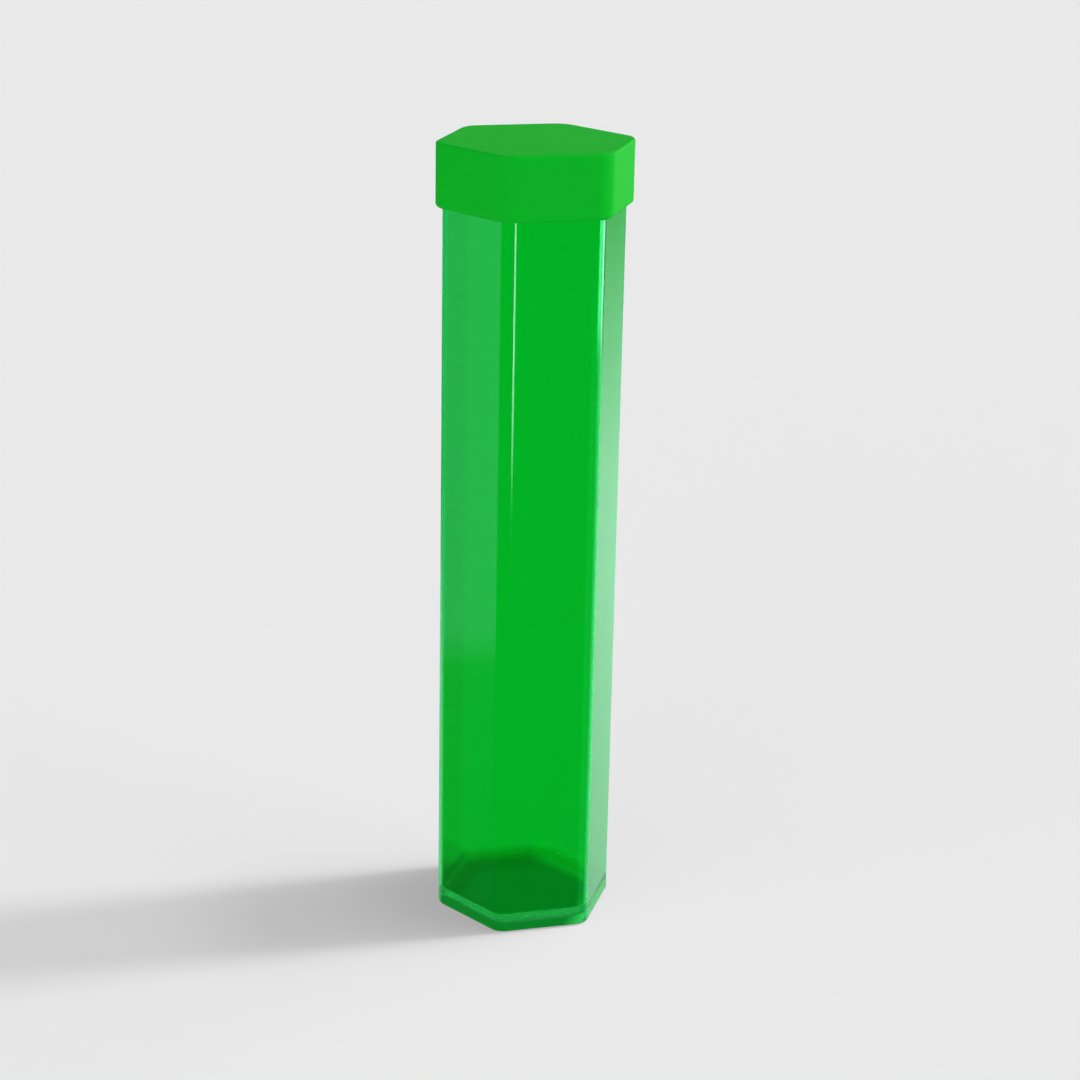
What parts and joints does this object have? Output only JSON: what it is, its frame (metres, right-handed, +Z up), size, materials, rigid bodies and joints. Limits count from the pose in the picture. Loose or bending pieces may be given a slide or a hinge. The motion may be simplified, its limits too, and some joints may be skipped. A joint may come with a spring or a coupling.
{
  "type": "playmat tube",
  "caption": "Tall six-sided storage tube for a rolled playmat: a clear green tube welded to a moulded base, closed by an opaque push-on lid that pulls straight off.",
  "frame": {"origin": "centre of the underside of the base, where the tube stands on a table", "axes": "+Z up along the tube, -Y square out of the front flat, +X out through a corner"},
  "size_m": [0.0928, 0.0832, 0.38],
  "materials": {
    "clear_green": "gloss",
    "lid_green": "satin"
  },
  "bodies": {
    "tube": {"clear_tube": "clear_green", "base_cup": "clear_green"},
    "lid": {"lid_cap": "lid_green"}
  },
  "joints": [
    {"name": "lid_pull", "type": "slide", "parent": "tube", "child": "lid", "axis": [0, 0, 1], "range_m": [0, 0.12]}
  ]
}
